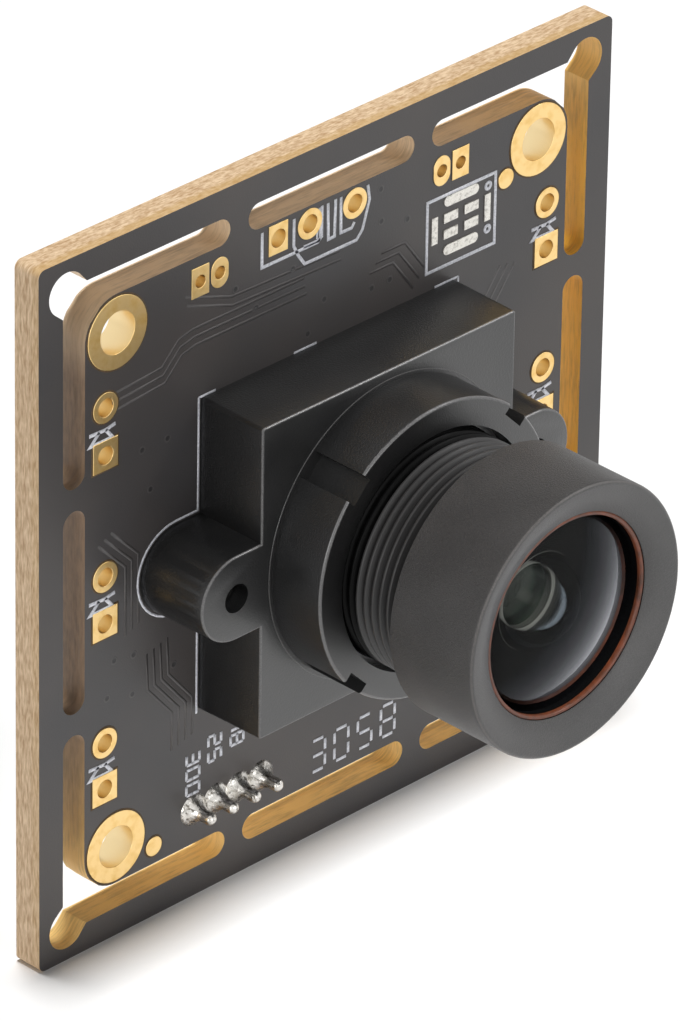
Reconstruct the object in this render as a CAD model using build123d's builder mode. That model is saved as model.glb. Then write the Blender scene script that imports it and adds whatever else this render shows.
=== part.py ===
from build123d import *
from math import sqrt
import os

# Camera module: a square circuit board with a screwed-on lens holder and a threaded lens.
# X runs to the right seen from the front, Z is up and the lens looks along -Y.
# The origin is the centre of the mounting holes on the front face of the board.
# Distances called "front" are measured from that face towards the lens, in millimetres.

# Board with its snap-off rim
board_size = 38.0
board_thickness = 1.6
board_corner = 0.4
rim_width = 1.5
slot_width = 1.5
bridge_offset = 6.1
bridge_width = 1.1
relief_half_width = 1.13
relief_setback = 1.8

# Mounting holes
hole_inset = 2.0
hole_radius = 1.1
pad_margin = 0.1

# Gold and tinned pads, all flat on the board
pad_thickness = 0.05
plating = 0.03
pin_hole_radius = 0.475
header_pad_width = 1.6
header_inset = 1.25
header_pitch = 2.54
header_end_gap = 0.85
header_drop = 0.08
link_pad_width = 1.13
link_pad_height = 1.6
link_pitch = 1.27
link_hole_radius = 0.33
link_offset = 8.02
link_inset = 1.3
probe_square_width = 1.25
probe_pad_height = 1.6
probe_square_x = -3.56
probe_round_x = (-1.47, 1.52)
mark_radius = 0.52
low_mark_inset = (4.52, 0.94)
high_mark_inset = (4.18, 3.34)

# Empty component place with tinned pads
tinned_inset = (7.23, 4.43)
long_bar = (2.35, 0.55)
long_bar_rise = 1.32
short_bar = (0.4, 1.45)
short_bar_reach = 1.8
small_pad = (0.95, 0.5)
small_pad_pitch = (1.4, 0.87)
small_pads_each_way = 2

# Lens holder
holder_size = 17.1
holder_height = 4.1
holder_draft = 1.2
holder_corner = 0.25
lens_drop = 0.12
holder_wall = 1.75
holder_roof = 1.1
ear_reach = 1.55
ear_radius = 2.35
ear_hole_radius = 0.75
collar_wall = 1.45
collar_height = 3.2
collar_edge = 0.15
mouth_gap = 0.3
mouth_depth = 1.0
notch_width = 1.45
notch_depth = 0.6

# Threaded lens
thread_radius = 6.0
thread_clearance = 0.06
back_focus = 2.6
rear_chamfer = 0.3
barrel_wall = 1.4
head_length = 5.31
head_slope = 0.95
head_overhang = 1.05
head_wall = 1.77
head_bevel = 0.17
face_dish = 0.56
seat_depth = 2.66
fit_gap = 0.05

# Glass and the rings that hold it
front_glass_edge = 1.3
front_curve_radius = 11.0
cup_ledge = 0.1
cup_height = 2.0
seal_width = 0.36
seal_depth = 0.36
seal_wall = 0.2
front_spacer_length = 0.6
front_spacer_wall = 1.95
cell_length = 2.0
cell_lip = 0.3
cell_lip_bore = 1.62
element_overlap = 0.36
element_curve_radius = 3.4
stop_thickness = 0.1
stop_bore = 0.75
mid_spacer_length = 1.6
spacer_wall = 0.9
doublet_edge = 1.2
doublet_curve_radius = 16.0
rear_spacer_length = 1.3
rear_element_edge = 1.3
rear_curve_radius = 18.0
retainer_length = 1.9
filter_thickness = 0.3
filter_inset = 1.05
filter_ledge = 0.6

# Sensor below the lens
sensor_width = 9.0
sensor_height = 8.4
sensor_thickness = 0.9
sensor_glass_margin = 0.5
sensor_glass_thickness = 0.4

# Screws from behind into the ears
screw_tip_setback = 0.9
screw_head_radius = 1.6
screw_head_height = 1.0
screw_head_round = 0.45
screw_clearance = 0.15
recess_width = 0.45
recess_margin = 0.65
recess_depth = 0.5

# Wire-to-board connector behind the board
connector_x = -6.55
connector_pitch = 1.5
connector_pins = 4
connector_end = 1.5
connector_depth = 3.5
connector_height = 5.7
connector_wall = 0.55
connector_floor = 1.2
key_slot_width = 1.0
key_slot_offset = 1.5
pin_width = 0.5
pin_chamfer = 0.1
pin_front = 1.35
pin_setback = 1.3
solder_radius = 0.72
solder_height = 0.85
solder_tip_radius = 0.42
solder_curve_radius = 1.36

# Parts soldered to the rear of the board
processor_size = 7.0
processor_height = 1.2
processor_standoff = 0.1
processor_x = 0.6
processor_z = 1.2
processor_leads_per_side = 12
processor_lead_pitch = 0.5
processor_lead_width = 0.22
memory_width = 3.9
memory_length = 4.9
memory_height = 1.35
memory_inset = (6.6, 7.2)
memory_leads_per_side = 4
memory_lead_pitch = 1.27
memory_lead_width = 0.4
lead_thickness = 0.15
lead_reach = 1.0
lead_rise = 0.55
lead_bend = 0.3
crystal_length = 5.0
crystal_width = 3.2
crystal_height = 1.0
crystal_lid = 0.3
crystal_offset = (-4.0, -8.4)
regulator_length = 2.9
regulator_width = 1.6
regulator_height = 1.0
regulator_lead_pitch = 0.95
regulator_lead_width = 0.38
regulator_inset = (6.8, 6.6)
regulator_pitch = 4.6
regulator_count = 2
regulator_right_lead_count = 3
regulator_left_lead_count = 2
inductor_size = 4.0
inductor_height = 1.9
inductor_corner = 0.5
inductor_core_radius = 1.5
inductor_groove = 0.15
inductor_inset = (7.0, 6.6)
chip_end = 0.25
chip_row_pitch = 1.6
capacitor_size = (1.6, 0.8, 0.8)
capacitor_count = 5
capacitor_distance = 2.6
resistor_size = (1.0, 0.5, 0.35)
resistor_count = 4
resistor_distance = 2.4

# Derived places
board_half = board_size / 2
rim_inner = board_half - rim_width
inner_half = rim_inner - slot_width
hole_half = inner_half - hole_inset
slot_middle = (rim_inner + inner_half) / 2
header_x = inner_half - header_inset
header_end = hole_half - hole_inset + pad_margin - header_end_gap
header_pair_pitch = header_end - (header_pad_width + header_pitch) / 2 - header_drop
link_z = inner_half - link_inset
probe_z = inner_half - pad_margin - probe_pad_height / 2
connector_z = connector_depth / 2 + pad_margin - inner_half
mount_pad_radius = hole_inset - pad_margin
lens_z = -lens_drop
rear_face = -board_thickness
plated_hole = hole_radius + plating
pin_drill = pin_hole_radius + plating
link_drill = link_hole_radius + plating
screw_drill = ear_hole_radius + screw_clearance

ear_x = holder_size / 2 + ear_reach
cavity_size = holder_size - 2 * holder_wall
cavity_depth = holder_height - holder_roof
collar_front = holder_height + collar_height
thread_bore = thread_radius + thread_clearance
mouth_radius = thread_radius + mouth_gap
collar_radius = mouth_radius + collar_wall

stack_bore_radius = thread_radius - barrel_wall
stack_radius = stack_bore_radius - fit_gap
spacer_bore = stack_radius - spacer_wall
front_spacer_bore = stack_radius - front_spacer_wall
cup_radius = front_spacer_bore - cup_ledge
head_radius = thread_radius + head_overhang
front_bore_radius = head_radius - head_wall
glass_radius = front_bore_radius - fit_gap
element_radius = cell_lip_bore + element_overlap
filter_radius = stack_radius - filter_inset

# Front distances of the rings and glasses, from the rear of the barrel to its front edge
barrel_rear = sensor_thickness + sensor_glass_thickness + back_focus
rear_element_rear = barrel_rear + retainer_length
rear_spacer_rear = rear_element_rear + rear_element_edge
third_element_rear = rear_spacer_rear + rear_spacer_length
mid_spacer_rear = third_element_rear + doublet_edge
stop_rear = mid_spacer_rear + mid_spacer_length
cell_rear = stop_rear + stop_thickness
cell_front = cell_rear + cell_length
glass_seat = cell_front + front_spacer_length
head_front = glass_seat + seat_depth
head_rear = head_front - head_length
thread_end = head_rear - head_slope

lens_plane = Plane.XY.offset(lens_z)
lens_axis = Axis((0, 0, lens_z), (0, 1, 0))


def front_plane(distance):
    # Plane parallel to the board, this far in front of its front face.
    return Plane.XZ.offset(distance)


def sag(curve_radius, half_width):
    # Height of a spherical surface over its own edge.
    return curve_radius - sqrt(curve_radius**2 - half_width**2)


def turned(points):
    # Revolves a closed outline of (radius, front) points about the lens axis.
    with BuildSketch(lens_plane) as outline:
        with BuildLine():
            Polyline([(radius, -front) for radius, front in points], close=True)
        make_face()
    revolve(outline.sketch, axis=lens_axis)


def two_sided_glass(rear, front, curve_radius):
    # Glass disc with a flat land round the edge of each face and a bulge inside it.
    bulge = sag(curve_radius, spacer_bore)
    with BuildSketch(lens_plane) as outline:
        with BuildLine():
            Line((0, -rear + bulge), (0, -front - bulge))
            RadiusArc((0, -front - bulge), (spacer_bore, -front), -curve_radius)
            Line((spacer_bore, -front), (stack_radius, -front))
            Line((stack_radius, -front), (stack_radius, -rear))
            Line((stack_radius, -rear), (spacer_bore, -rear))
            RadiusArc((spacer_bore, -rear), (0, -rear + bulge), -curve_radius)
        make_face()
    revolve(outline.sketch, axis=lens_axis)


def plain_ring(bore, rear, front):
    # Flat ring that fills the bore of the barrel round a smaller hole.
    turned([(bore, rear), (stack_radius, rear), (stack_radius, front), (bore, front)])


def hole_walls(drill, bore, places):
    # Wall of each plated hole, from the front pad to the rear pad.
    with BuildSketch(front_plane(rear_face)) as outline:
        with Locations(*places):
            Circle(drill)
            Circle(bore, mode=Mode.SUBTRACT)
    extrude(outline.sketch, amount=board_thickness)


def gull_leads(middle, body_half, side, count, pitch, width):
    # Bent leads along one side of a package; side is the outward direction (x, z).
    along = (-side[1], side[0])
    profile = [
        (0, lead_rise + lead_thickness),
        (lead_bend + lead_thickness, lead_rise + lead_thickness),
        (lead_bend + lead_thickness, lead_thickness),
        (lead_reach, lead_thickness),
        (lead_reach, 0),
        (lead_bend, 0),
        (lead_bend, lead_rise),
        (0, lead_rise),
    ]
    for index in range(count):
        shift = (index - (count - 1) / 2) * pitch
        origin = (
            middle[0] + side[0] * body_half + along[0] * shift,
            board_thickness,
            middle[1] + side[1] * body_half + along[1] * shift,
        )
        outward = (side[0], 0, side[1])
        sideways = Vector(*outward).cross(Vector(0, 1, 0))
        with BuildSketch(Plane(origin=origin, x_dir=outward, z_dir=sideways)) as outline:
            with BuildLine():
                Polyline(profile, close=True)
            make_face()
        extrude(outline.sketch, amount=width / 2, both=True)


def save(piece, label):
    piece.part.label = label
    export_step(piece.part, f"parts/{label}.step")


os.makedirs("parts", exist_ok=True)

mount_places = [(x * hole_half, z * hole_half) for x in (-1, 1) for z in (-1, 1)]
header_middles = [index * header_pair_pitch - header_drop for index in (-1, 0, 1)]
header_rounds = [(x * header_x, z + header_pitch / 2) for x in (-1, 1) for z in header_middles]
header_squares = [(x * header_x, z - header_pitch / 2) for x in (-1, 1) for z in header_middles]
link_rounds = [(x * (link_offset - link_pitch / 2), link_z) for x in (-1, 1)]
link_squares = [(x * (link_offset + link_pitch / 2), link_z) for x in (-1, 1)]
probe_rounds = [(x, probe_z) for x in probe_round_x]
probe_square = (probe_square_x, probe_z)
pin_places = [
    (connector_x + (index - (connector_pins - 1) / 2) * connector_pitch, connector_z)
    for index in range(connector_pins)
]
ear_places = [(x * ear_x, lens_z) for x in (-1, 1)]

# Circuit board: rim and inner board in one sheet, joined by the bridges between the slots
middle_slot = 2 * bridge_offset - bridge_width
corner_slot_start = bridge_offset + bridge_width / 2
relief_end = board_half - relief_setback
with BuildPart() as circuit_board:
    with BuildSketch(front_plane(rear_face)):
        RectangleRounded(board_size, board_size, board_corner)
        with PolarLocations(slot_middle, 4):
            SlotOverall(middle_slot, slot_width, rotation=90, mode=Mode.SUBTRACT)
        with BuildSketch(mode=Mode.PRIVATE) as corner_slot:
            leg = hole_half - corner_slot_start - slot_width / 2
            with Locations((corner_slot_start + slot_width / 2 + leg / 2, slot_middle)):
                Rectangle(leg, slot_width)
            with Locations((slot_middle, corner_slot_start + slot_width / 2 + leg / 2)):
                Rectangle(slot_width, leg)
            with Locations(
                (corner_slot_start + slot_width / 2, slot_middle),
                (slot_middle, corner_slot_start + slot_width / 2),
            ):
                Circle(slot_width / 2)
            block = rim_inner - hole_half
            with Locations((hole_half + block / 2, hole_half + block / 2)):
                Rectangle(block, block)
            with Locations((hole_half, hole_half)):
                Circle(hole_inset, mode=Mode.SUBTRACT)
            reach = (relief_end - slot_middle) * sqrt(2)
            with Locations(((relief_end + slot_middle) / 2, (relief_end + slot_middle) / 2)):
                SlotCenterToCenter(reach, 2 * relief_half_width, rotation=45)
        for quarter in range(4):
            add(corner_slot.sketch.rotate(Axis.Z, quarter * 90), mode=Mode.SUBTRACT)
        with Locations(*mount_places):
            Circle(plated_hole, mode=Mode.SUBTRACT)
        with Locations(*header_rounds, *header_squares, *probe_rounds, probe_square, *pin_places):
            Circle(pin_drill, mode=Mode.SUBTRACT)
        with Locations(*link_rounds, *link_squares):
            Circle(link_drill, mode=Mode.SUBTRACT)
        with Locations(*ear_places):
            Circle(screw_drill, mode=Mode.SUBTRACT)
    extrude(amount=board_thickness)
save(circuit_board, "circuit_board")

# Plated mounting holes: a ring on each face joined by the wall of the hole
with BuildPart() as mounting_pads:
    hole_walls(plated_hole, hole_radius, mount_places)
    for plane in (front_plane(0), front_plane(rear_face - pad_thickness)):
        with BuildSketch(plane):
            with Locations(*mount_places):
                Circle(mount_pad_radius)
                Circle(hole_radius, mode=Mode.SUBTRACT)
        extrude(amount=pad_thickness)
save(mounting_pads, "mounting_pads")

# Plated pin holes along the two sides, a round pad over a square one
with BuildPart() as header_pads:
    hole_walls(pin_drill, pin_hole_radius, header_rounds + header_squares)
    for plane in (front_plane(0), front_plane(rear_face - pad_thickness)):
        with BuildSketch(plane):
            with Locations(*header_rounds):
                Circle(header_pad_width / 2)
            with Locations(*header_squares):
                Rectangle(header_pad_width, header_pad_width)
            with Locations(*header_rounds, *header_squares):
                Circle(pin_hole_radius, mode=Mode.SUBTRACT)
        extrude(amount=pad_thickness)
save(header_pads, "header_pads")

# Three plated holes in the outline printed at the top edge
with BuildPart() as probe_pads:
    hole_walls(pin_drill, pin_hole_radius, probe_rounds + [probe_square])
    for plane in (front_plane(0), front_plane(rear_face - pad_thickness)):
        with BuildSketch(plane):
            with Locations(*probe_rounds):
                Circle(probe_pad_height / 2)
            with Locations(probe_square):
                Rectangle(probe_square_width, probe_pad_height)
            with Locations(*probe_rounds, probe_square):
                Circle(pin_hole_radius, mode=Mode.SUBTRACT)
        extrude(amount=pad_thickness)
save(probe_pads, "probe_pads")

# Two close pairs of plated holes at the top edge, one square and one oval in each pair
with BuildPart() as link_pads:
    hole_walls(link_drill, link_hole_radius, link_rounds + link_squares)
    for plane in (front_plane(0), front_plane(rear_face - pad_thickness)):
        with BuildSketch(plane):
            with Locations(*link_rounds):
                SlotOverall(link_pad_height, link_pad_width, rotation=90)
            with Locations(*link_squares):
                Rectangle(link_pad_width, link_pad_height)
            with Locations(*link_rounds, *link_squares):
                Circle(link_hole_radius, mode=Mode.SUBTRACT)
        extrude(amount=pad_thickness)
save(link_pads, "link_pads")

# Two round alignment marks of bare gold
mark_places = [
    (low_mark_inset[0] - inner_half, low_mark_inset[1] - inner_half),
    (inner_half - high_mark_inset[0], inner_half - high_mark_inset[1]),
]
with BuildPart() as alignment_marks:
    with BuildSketch(front_plane(0)):
        with Locations(*mark_places):
            Circle(mark_radius)
    extrude(amount=pad_thickness)
save(alignment_marks, "alignment_marks")

# Tinned pads of an empty component place: long bars, short bars and four small pads
tinned_x = inner_half - tinned_inset[0]
tinned_z = inner_half - tinned_inset[1]
with BuildPart() as tinned_pads:
    with BuildSketch(front_plane(0)):
        for rise in (-long_bar_rise, long_bar_rise):
            with Locations((tinned_x, tinned_z + rise)):
                SlotOverall(*long_bar)
        for reach in (-short_bar_reach, short_bar_reach):
            with Locations((tinned_x + reach, tinned_z)):
                Rectangle(*short_bar)
        with Locations((tinned_x, tinned_z)):
            with GridLocations(*small_pad_pitch, small_pads_each_way, small_pads_each_way):
                Rectangle(*small_pad)
    extrude(amount=pad_thickness)
save(tinned_pads, "tinned_pads")

# Lens holder: drafted square block with an ear on each side, a notched collar and a hollow below
with BuildPart() as lens_holder:
    with BuildSketch(front_plane(0)):
        with Locations((0, lens_z)):
            RectangleRounded(holder_size, holder_size, holder_corner)
            SlotCenterToCenter(2 * ear_x, 2 * ear_radius)
    extrude(amount=holder_height, taper=holder_draft)
    with BuildSketch(front_plane(holder_height)):
        with Locations((0, lens_z)):
            Circle(collar_radius)
    extrude(amount=collar_height)
    collar_rim = lens_holder.edges().filter_by(GeomType.CIRCLE).sort_by(Axis.Y)[0]
    fillet(collar_rim, radius=collar_edge)
    with BuildSketch(front_plane(holder_height)):
        with Locations((0, lens_z)):
            with PolarLocations(collar_radius, 4, start_angle=45):
                Rectangle(2 * notch_depth, notch_width)
    extrude(amount=collar_height, mode=Mode.SUBTRACT)
    with BuildSketch(front_plane(0)):
        with Locations((0, lens_z)):
            RectangleRounded(cavity_size, cavity_size, holder_corner)
    extrude(amount=cavity_depth, mode=Mode.SUBTRACT)
    with BuildSketch(front_plane(0)):
        with Locations((0, lens_z)):
            Circle(thread_bore)
    extrude(amount=collar_front, mode=Mode.SUBTRACT)
    with BuildSketch(front_plane(collar_front - mouth_depth)):
        with Locations((0, lens_z)):
            Circle(mouth_radius)
    extrude(amount=mouth_depth, mode=Mode.SUBTRACT)
    with BuildSketch(front_plane(0)):
        with Locations(*ear_places):
            Circle(ear_hole_radius)
    extrude(amount=holder_height, mode=Mode.SUBTRACT)
save(lens_holder, "lens_holder")

# Two pan-head screws that hold the holder from behind
recess_length = 2 * (screw_head_radius - recess_margin)
with BuildPart() as holder_screws:
    with BuildSketch(front_plane(rear_face - screw_head_height)):
        with Locations(*ear_places):
            Circle(screw_head_radius)
    extrude(amount=screw_head_height)
    head_rims = holder_screws.edges().filter_by(GeomType.CIRCLE).group_by(Axis.Y)[-1]
    fillet(head_rims, radius=screw_head_round)
    with BuildSketch(front_plane(rear_face)):
        with Locations(*ear_places):
            Circle(ear_hole_radius - fit_gap)
    extrude(amount=board_thickness + holder_height - screw_tip_setback)
    with BuildSketch(front_plane(rear_face - screw_head_height)):
        with Locations(*ear_places):
            Rectangle(recess_length, recess_width)
            Rectangle(recess_width, recess_length)
    extrude(amount=recess_depth, mode=Mode.SUBTRACT)
save(holder_screws, "holder_screws")

# Image sensor package and its cover glass
with BuildPart() as image_sensor:
    with BuildSketch(front_plane(0)):
        with Locations((0, lens_z)):
            Rectangle(sensor_width, sensor_height)
    extrude(amount=sensor_thickness)
save(image_sensor, "image_sensor")

with BuildPart() as sensor_glass:
    with BuildSketch(front_plane(sensor_thickness)):
        with Locations((0, lens_z)):
            Rectangle(sensor_width - 2 * sensor_glass_margin, sensor_height - 2 * sensor_glass_margin)
    extrude(amount=sensor_glass_thickness)
save(sensor_glass, "sensor_glass")

# Lens barrel: threaded tube, wide head with a dished front face, bore stepped for the glass
with BuildPart() as lens_barrel:
    turned([
        (stack_bore_radius, barrel_rear),
        (thread_radius - rear_chamfer, barrel_rear),
        (thread_radius, barrel_rear + rear_chamfer),
        (thread_radius, thread_end),
        (head_radius, head_rear),
        (head_radius, head_front - head_bevel),
        (head_radius - head_bevel, head_front),
        (front_bore_radius, head_front - face_dish),
        (front_bore_radius, glass_seat),
        (stack_bore_radius, glass_seat),
    ])
save(lens_barrel, "lens_barrel")

# Front glass: outer face bulges forwards, a round cup is ground into the middle of its back
glass_rim = glass_seat + front_glass_edge
glass_apex = glass_rim + sag(front_curve_radius, glass_radius)
cup_apex = glass_seat + cup_height
cup_curve = (cup_radius**2 + cup_height**2) / (2 * cup_height)
with BuildPart() as front_glass:
    with BuildSketch(lens_plane):
        with BuildLine():
            Line((0, -cup_apex), (0, -glass_apex))
            RadiusArc((0, -glass_apex), (glass_radius, -glass_rim), -front_curve_radius)
            Line((glass_radius, -glass_rim), (glass_radius, -glass_seat))
            Line((glass_radius, -glass_seat), (cup_radius, -glass_seat))
            RadiusArc((cup_radius, -glass_seat), (0, -cup_apex), cup_curve)
        make_face()
    revolve(axis=lens_axis)
save(front_glass, "front_glass")

# Ring that seals the front glass in the bore
seal_front = head_front - face_dish - seal_depth
with BuildPart() as seal_ring:
    turned([
        (front_bore_radius - seal_wall, seal_front - seal_width),
        (front_bore_radius, seal_front - seal_width),
        (front_bore_radius, seal_front),
        (front_bore_radius - seal_wall, seal_front),
    ])
save(seal_ring, "seal_ring")

# The rings and glasses behind the front glass, each standing on the one behind it
with BuildPart() as front_spacer:
    plain_ring(front_spacer_bore, cell_front, glass_seat)
save(front_spacer, "front_spacer")

with BuildPart() as element_cell:
    turned([
        (element_radius + fit_gap, cell_rear),
        (stack_radius, cell_rear),
        (stack_radius, cell_front),
        (cell_lip_bore, cell_front),
        (cell_lip_bore, cell_front - cell_lip),
        (element_radius + fit_gap, cell_front - cell_lip),
    ])
save(element_cell, "element_cell")

# Small glass that looks out through the lip of its cell and stands on the stop behind it
element_apex = cell_front - cell_lip - fit_gap + sag(element_curve_radius, cell_lip_bore)
element_shoulder = element_apex - sag(element_curve_radius, element_radius)
with BuildPart() as second_element:
    with BuildSketch(lens_plane):
        with BuildLine():
            Line((0, -cell_rear), (0, -element_apex))
            RadiusArc((0, -element_apex), (element_radius, -element_shoulder), -element_curve_radius)
            Line((element_radius, -element_shoulder), (element_radius, -cell_rear))
            Line((element_radius, -cell_rear), (0, -cell_rear))
        make_face()
    revolve(axis=lens_axis)
save(second_element, "second_element")

with BuildPart() as aperture_stop:
    plain_ring(stop_bore, stop_rear, cell_rear)
save(aperture_stop, "aperture_stop")

with BuildPart() as mid_spacer:
    plain_ring(spacer_bore, mid_spacer_rear, stop_rear)
save(mid_spacer, "mid_spacer")

with BuildPart() as third_element:
    two_sided_glass(third_element_rear, mid_spacer_rear, doublet_curve_radius)
save(third_element, "third_element")

with BuildPart() as rear_spacer:
    plain_ring(spacer_bore, rear_spacer_rear, third_element_rear)
save(rear_spacer, "rear_spacer")

with BuildPart() as rear_element:
    two_sided_glass(rear_element_rear, rear_spacer_rear, rear_curve_radius)
save(rear_element, "rear_element")

# Retainer screwed in from the rear, with a pocket for the filter
retainer_bore = filter_radius - filter_ledge
pocket_radius = filter_radius + fit_gap
pocket_floor = barrel_rear + filter_thickness
with BuildPart() as rear_retainer:
    turned([
        (pocket_radius, barrel_rear),
        (stack_radius, barrel_rear),
        (stack_radius, rear_element_rear),
        (spacer_bore, rear_element_rear),
        (retainer_bore, pocket_floor + filter_ledge),
        (retainer_bore, pocket_floor),
        (pocket_radius, pocket_floor),
    ])
save(rear_retainer, "rear_retainer")

with BuildPart() as infrared_filter:
    with BuildSketch(front_plane(barrel_rear)):
        with Locations((0, lens_z)):
            Circle(filter_radius)
    extrude(amount=filter_thickness)
save(infrared_filter, "infrared_filter")

# Connector housing: open box with two key slots in one long wall
connector_width = (connector_pins - 1) * connector_pitch + 2 * connector_end
connector_top = rear_face - connector_height
pin_rear = connector_height - pin_setback
with BuildPart() as connector_housing:
    with BuildSketch(front_plane(connector_top)):
        with Locations((connector_x, connector_z)):
            Rectangle(connector_width, connector_depth)
    extrude(amount=connector_height)
    with BuildSketch(front_plane(connector_top)):
        with Locations((connector_x, connector_z)):
            Rectangle(connector_width - 2 * connector_wall, connector_depth - 2 * connector_wall)
        with Locations((connector_x, connector_z + connector_depth / 2)):
            with GridLocations(2 * key_slot_offset, 1, 2, 1):
                Rectangle(key_slot_width, 2 * connector_wall + fit_gap)
    extrude(amount=connector_height - connector_floor, mode=Mode.SUBTRACT)
    with BuildSketch(front_plane(connector_top)):
        with Locations(*pin_places):
            Rectangle(pin_width, pin_width)
    extrude(amount=connector_height, mode=Mode.SUBTRACT)
save(connector_housing, "connector_housing")

# Square pins that pass through the housing and the board
with BuildPart() as connector_pin_row:
    with BuildSketch(front_plane(rear_face - pin_rear)):
        with Locations(*pin_places):
            Rectangle(pin_width, pin_width)
    extrude(amount=pin_rear + board_thickness + pin_front)
    chamfer(connector_pin_row.faces().filter_by(Axis.Y).edges(), length=pin_chamfer)
save(connector_pin_row, "connector_pins")

# Solder cones around the pins on the front of the board
with BuildPart() as solder_joints:
    for place in pin_places:
        with BuildSketch(Plane.XY.offset(place[1])):
            with BuildLine():
                Line((place[0], 0), (place[0] + solder_radius, 0))
                RadiusArc(
                    (place[0] + solder_radius, 0),
                    (place[0] + solder_tip_radius, -solder_height),
                    solder_curve_radius,
                )
                Line((place[0] + solder_tip_radius, -solder_height), (place[0], -solder_height))
                Line((place[0], -solder_height), (place[0], 0))
            make_face()
        revolve(axis=Axis((place[0], 0, place[1]), (0, 1, 0)))
    with BuildSketch(front_plane(0)):
        with Locations(*pin_places):
            Rectangle(pin_width, pin_width)
    extrude(amount=solder_height, mode=Mode.SUBTRACT)
save(solder_joints, "solder_joints")

# Processor with leads on four sides
processor_place = (processor_x, processor_z)
with BuildPart() as video_processor:
    with BuildSketch(front_plane(rear_face - processor_standoff - processor_height)):
        with Locations(processor_place):
            Rectangle(processor_size, processor_size)
    extrude(amount=processor_height)
save(video_processor, "video_processor")

with BuildPart() as processor_leads:
    for side in ((1, 0), (-1, 0), (0, 1), (0, -1)):
        gull_leads(
            processor_place, processor_size / 2, side, processor_leads_per_side,
            processor_lead_pitch, processor_lead_width,
        )
save(processor_leads, "processor_leads")

# Memory chip with leads on two sides
memory_place = (inner_half - memory_inset[0], inner_half - memory_inset[1])
with BuildPart() as memory_chip:
    with BuildSketch(front_plane(rear_face - processor_standoff - memory_height)):
        with Locations(memory_place):
            Rectangle(memory_width, memory_length)
    extrude(amount=memory_height)
save(memory_chip, "memory_chip")

with BuildPart() as memory_leads:
    for side in ((1, 0), (-1, 0)):
        gull_leads(
            memory_place, memory_width / 2, side, memory_leads_per_side,
            memory_lead_pitch, memory_lead_width,
        )
save(memory_leads, "memory_leads")

# Quartz crystal: ceramic tray with a smaller metal lid
crystal_place = (processor_x + crystal_offset[0], processor_z + crystal_offset[1])
with BuildPart() as crystal_can:
    with BuildSketch(front_plane(rear_face - crystal_height)):
        with Locations(crystal_place):
            RectangleRounded(crystal_length - crystal_lid, crystal_width - crystal_lid, crystal_lid)
    extrude(amount=crystal_lid)
    with BuildSketch(front_plane(rear_face - crystal_height + crystal_lid)):
        with Locations(crystal_place):
            Rectangle(crystal_length, crystal_width)
    extrude(amount=crystal_height - crystal_lid)
save(crystal_can, "crystal_can")

# Two small regulators, each with three leads on one side and two on the other
regulator_places = [
    (inner_half - regulator_inset[0] - index * regulator_pitch, regulator_inset[1] - inner_half)
    for index in range(regulator_count)
]
with BuildPart() as voltage_regulators:
    with BuildSketch(front_plane(rear_face - processor_standoff - regulator_height)):
        with Locations(*regulator_places):
            Rectangle(regulator_width, regulator_length)
    extrude(amount=regulator_height)
save(voltage_regulators, "voltage_regulators")

with BuildPart() as regulator_leads:
    for place in regulator_places:
        gull_leads(
            place, regulator_width / 2, (1, 0), regulator_right_lead_count,
            regulator_lead_pitch, regulator_lead_width,
        )
        gull_leads(
            place, regulator_width / 2, (-1, 0), regulator_left_lead_count,
            2 * regulator_lead_pitch, regulator_lead_width,
        )
save(regulator_leads, "regulator_leads")

# Shielded inductor with a round core showing in its top
inductor_place = (inductor_inset[0] - inner_half, inner_half - inductor_inset[1])
with BuildPart() as power_inductor:
    with BuildSketch(front_plane(rear_face - inductor_height)):
        with Locations(inductor_place):
            RectangleRounded(inductor_size, inductor_size, inductor_corner)
    extrude(amount=inductor_height)
    with BuildSketch(front_plane(rear_face - inductor_height)):
        with Locations(inductor_place):
            Circle(inductor_core_radius + inductor_groove)
            Circle(inductor_core_radius, mode=Mode.SUBTRACT)
    extrude(amount=inductor_groove, mode=Mode.SUBTRACT)
save(power_inductor, "power_inductor")

# Small chip parts in rows: a body between two metal ends
processor_half = processor_size / 2
capacitor_z = processor_z + processor_half + capacitor_distance
capacitor_places = [
    (processor_x + (index - (capacitor_count - 1) / 2) * chip_row_pitch, capacitor_z)
    for index in range(capacitor_count)
]
resistor_places = [
    (
        processor_x + side * (processor_half + resistor_distance),
        processor_z + (index - (resistor_count - 1) / 2) * chip_row_pitch,
    )
    for side in (-1, 1)
    for index in range(resistor_count)
]


def chip_bodies(places, size):
    with BuildSketch(front_plane(rear_face - size[2])) as outline:
        with Locations(*places):
            Rectangle(size[1], size[0] - 2 * chip_end)
    extrude(outline.sketch, amount=size[2])


def chip_ends(places, size):
    shift = (size[0] - chip_end) / 2
    with BuildSketch(front_plane(rear_face - size[2])) as outline:
        with Locations(*[(x, z + side * shift) for x, z in places for side in (-1, 1)]):
            Rectangle(size[1], chip_end)
    extrude(outline.sketch, amount=size[2])


with BuildPart() as capacitor_bodies:
    chip_bodies(capacitor_places, capacitor_size)
save(capacitor_bodies, "capacitor_bodies")

with BuildPart() as resistor_bodies:
    chip_bodies(resistor_places, resistor_size)
save(resistor_bodies, "resistor_bodies")

with BuildPart() as chip_terminals:
    chip_ends(capacitor_places, capacitor_size)
    chip_ends(resistor_places, resistor_size)
save(chip_terminals, "chip_terminals")
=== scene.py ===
import math

import bmesh
import bpy
from mathutils import Matrix, Vector


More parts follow.
